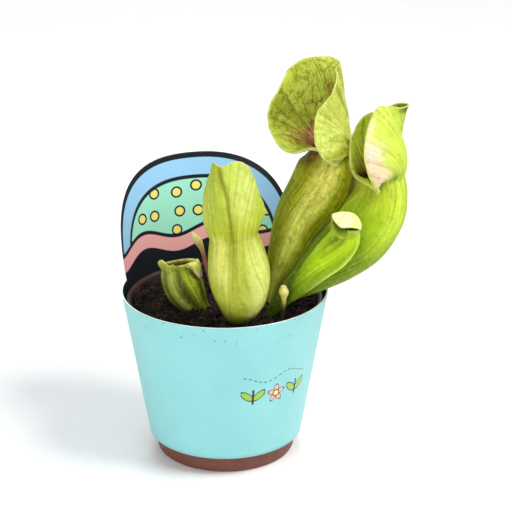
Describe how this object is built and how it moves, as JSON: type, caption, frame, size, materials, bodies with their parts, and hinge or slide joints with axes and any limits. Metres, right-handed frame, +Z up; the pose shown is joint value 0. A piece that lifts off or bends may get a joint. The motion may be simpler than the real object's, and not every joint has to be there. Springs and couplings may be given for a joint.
{
  "type": "potted pitcher plant",
  "caption": "Young pitcher plant: hooded, hollow tube leaves rise from a crown in peat, in a small nursery pot with a printed card sleeve and raised arched back panel.",
  "frame": {"origin": "centre of the nursery pot's flat underside, on the surface that it stands on", "axes": "+Z up along the pot's axis; +Y towards the sleeve's raised back panel; +X to the side that the longest pitchers lean to"},
  "size_m": [0.1089, 0.1007, 0.1656],
  "materials": {
    "pot": "matte",
    "sleeve": "satin print",
    "peat": "rough, moist",
    "crown": "rough",
    "leaf_yellow_green": "satin",
    "leaf_olive": "satin",
    "leaf_green": "satin",
    "leaf_bright": "satin",
    "leaf_dark": "satin",
    "young_leaf": "satin",
    "brown_leaf": "satin"
  },
  "bodies": {
    "root": {"nursery_pot": "pot", "card_sleeve": "sleeve", "peat": "peat", "crown": "crown", "pitcher_front": "leaf_yellow_green", "pitcher_tall": "leaf_olive", "pitcher_right": "leaf_green", "pitcher_small": "leaf_bright", "pitcher_left": "leaf_dark", "bud": "young_leaf", "sprout": "brown_leaf"}
  },
  "joints": []
}
